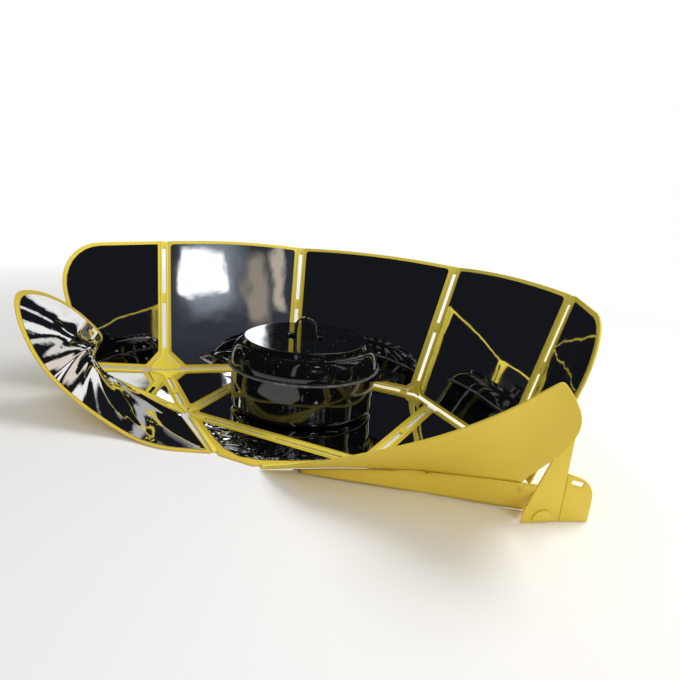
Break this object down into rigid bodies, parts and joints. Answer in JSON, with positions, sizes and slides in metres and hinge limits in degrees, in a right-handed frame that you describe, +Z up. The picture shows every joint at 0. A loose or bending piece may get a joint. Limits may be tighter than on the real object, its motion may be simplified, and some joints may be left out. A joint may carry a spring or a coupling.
{
  "type": "folding panel solar oven",
  "caption": "Folding panel solar cooker: mirror-faced plastic panels hinged by slotted strips round a low floor, with curved front wings, folding feet and a black lidded pot.",
  "frame": {"origin": "on the ground, under the middle of the floor panel", "axes": "+X to the cook's right, +Y from the cook to the back wall, +Z up"},
  "size_m": [0.884, 0.5225, 0.254],
  "materials": {
    "yellow_shell": "semi-matt moulded polypropylene, golden yellow",
    "bright_hinge": "thinner moulded plastic, lighter yellow, slightly glossy",
    "mirror_film": "clear silver mirror film",
    "black_enamel": "glossy black enamel on sheet steel"
  },
  "bodies": {
    "floor": {"floor_panel": "yellow_shell", "floor_mirror": "mirror_film"},
    "back_wall": {"back_wall_panel": "yellow_shell", "back_wall_mirror": "mirror_film", "hinge_base_back": "bright_hinge"},
    "front_flap": {"front_flap_panel": "yellow_shell", "front_flap_mirror": "mirror_film", "hinge_front": "bright_hinge", "hinge_flap_left": "bright_hinge", "hinge_flap_right": "bright_hinge"},
    "pot": {"pot_body": "black_enamel", "pot_handle_left": "black_enamel", "pot_handle_right": "black_enamel"},
    "lid": {"pot_lid": "black_enamel", "lid_handle": "black_enamel"},
    "side_wall_left": {"side_wall_left_panel": "yellow_shell", "side_wall_left_mirror": "mirror_film", "hinge_back_left": "bright_hinge"},
    "end_wall_left": {"end_wall_left_panel": "yellow_shell", "end_wall_left_mirror": "mirror_film", "hinge_end_left": "bright_hinge", "foot_left_front": "bright_hinge", "foot_left_tab": "bright_hinge"},
    "foot_leaf_left": {"foot_left_leaf": "bright_hinge"},
    "inner_floor_left": {"inner_floor_left_panel": "yellow_shell", "inner_floor_left_mirror": "mirror_film", "hinge_floor_left": "bright_hinge", "hinge_base_left": "bright_hinge"},
    "outer_floor_left": {"outer_floor_left_panel": "yellow_shell", "outer_floor_left_mirror": "mirror_film", "hinge_outer_left": "bright_hinge", "hinge_base_end_left": "bright_hinge", "skirt_left": "yellow_shell"},
    "petal_left": {"petal_left_panel": "yellow_shell", "petal_left_mirror": "mirror_film", "hinge_petal_left": "bright_hinge"},
    "side_wall_right": {"side_wall_right_panel": "yellow_shell", "side_wall_right_mirror": "mirror_film", "hinge_back_right": "bright_hinge"},
    "end_wall_right": {"end_wall_right_panel": "yellow_shell", "end_wall_right_mirror": "mirror_film", "hinge_end_right": "bright_hinge", "foot_right_front": "bright_hinge", "foot_right_tab": "bright_hinge"},
    "foot_leaf_right": {"foot_right_leaf": "bright_hinge"},
    "inner_floor_right": {"inner_floor_right_panel": "yellow_shell", "inner_floor_right_mirror": "mirror_film", "hinge_floor_right": "bright_hinge", "hinge_base_right": "bright_hinge"},
    "outer_floor_right": {"outer_floor_right_panel": "yellow_shell", "outer_floor_right_mirror": "mirror_film", "hinge_outer_right": "bright_hinge", "hinge_base_end_right": "bright_hinge", "skirt_right": "yellow_shell"},
    "petal_right": {"petal_right_panel": "yellow_shell", "petal_right_mirror": "mirror_film", "hinge_petal_right": "bright_hinge"}
  },
  "joints": [
    {"name": "back_wall_fold", "type": "hinge", "parent": "floor", "child": "back_wall", "pos_m": [0, 0.155, 0.0035], "axis": [-1, 0, 0], "range_deg": [0, 60], "deforming": ["hinge_base_back"]},
    {"name": "front_flap_fold", "type": "hinge", "parent": "floor", "child": "front_flap", "pos_m": [0, -0.155, 0.0035], "axis": [-1, 0, 0], "range_deg": [0, 75], "deforming": ["hinge_front"]},
    {"name": "side_wall_fold_left", "type": "hinge", "parent": "back_wall", "child": "side_wall_left", "pos_m": [-0.135, 0.155, 0.0035], "axis": [0.1353, -0.29, -0.9474], "range_deg": [0, 30], "deforming": ["hinge_back_left"]},
    {"name": "end_wall_fold_left", "type": "hinge", "parent": "side_wall_left", "child": "end_wall_left", "pos_m": [-0.32703, -0.0179, 0.0035], "axis": [0.2057, -0.2285, -0.9516], "range_deg": [0, 60], "deforming": ["hinge_end_left"]},
    {"name": "inner_floor_fold_left", "type": "hinge", "parent": "floor", "child": "inner_floor_left", "pos_m": [-0.157, -0.155, 0.0035], "axis": [-0.0834, 0.9965, 0], "range_deg": [0, 4], "deforming": ["hinge_floor_left"]},
    {"name": "outer_floor_fold_left", "type": "hinge", "parent": "inner_floor_left", "child": "outer_floor_left", "pos_m": [-0.157, -0.155, 0.0035], "axis": [-0.7785, 0.6277, 0], "range_deg": [0, 6], "deforming": ["hinge_outer_left"]},
    {"name": "petal_fold_left", "type": "hinge", "parent": "outer_floor_left", "child": "petal_left", "pos_m": [-0.157, -0.155, 0.0035], "axis": [-0.9816, -0.0699, 0.1777], "range_deg": [0, 25], "deforming": ["hinge_petal_left"]},
    {"name": "foot_leaf_fold_left", "type": "hinge", "parent": "end_wall_left", "child": "foot_leaf_left", "pos_m": [-0.41, -0.156, 0.03], "axis": [0, 0, 1], "range_deg": [0, 80]},
    {"name": "side_wall_fold_right", "type": "hinge", "parent": "back_wall", "child": "side_wall_right", "pos_m": [0.135, 0.155, 0.0035], "axis": [0.1353, 0.29, 0.9474], "range_deg": [0, 30], "deforming": ["hinge_back_right"]},
    {"name": "end_wall_fold_right", "type": "hinge", "parent": "side_wall_right", "child": "end_wall_right", "pos_m": [0.32703, -0.0179, 0.0035], "axis": [0.2057, 0.2285, 0.9516], "range_deg": [0, 60], "deforming": ["hinge_end_right"]},
    {"name": "inner_floor_fold_right", "type": "hinge", "parent": "floor", "child": "inner_floor_right", "pos_m": [0.157, -0.155, 0.0035], "axis": [-0.0834, -0.9965, 0], "range_deg": [0, 4], "deforming": ["hinge_floor_right"]},
    {"name": "outer_floor_fold_right", "type": "hinge", "parent": "inner_floor_right", "child": "outer_floor_right", "pos_m": [0.157, -0.155, 0.0035], "axis": [-0.7785, -0.6277, 0], "range_deg": [0, 6], "deforming": ["hinge_outer_right"]},
    {"name": "petal_fold_right", "type": "hinge", "parent": "outer_floor_right", "child": "petal_right", "pos_m": [0.157, -0.155, 0.0035], "axis": [-0.9816, 0.0699, -0.1777], "range_deg": [0, 25], "deforming": ["hinge_petal_right"]},
    {"name": "foot_leaf_fold_right", "type": "hinge", "parent": "end_wall_right", "child": "foot_leaf_right", "pos_m": [0.41, -0.156, 0.03], "axis": [0, 0, -1], "range_deg": [0, 80]},
    {"name": "pot_lift", "type": "slide", "parent": "floor", "child": "pot", "axis": [0, 0, 1], "range_m": [0, 0.12]},
    {"name": "lid_lift", "type": "slide", "parent": "pot", "child": "lid", "axis": [0, 0, 1], "range_m": [0, 0.08]}
  ]
}
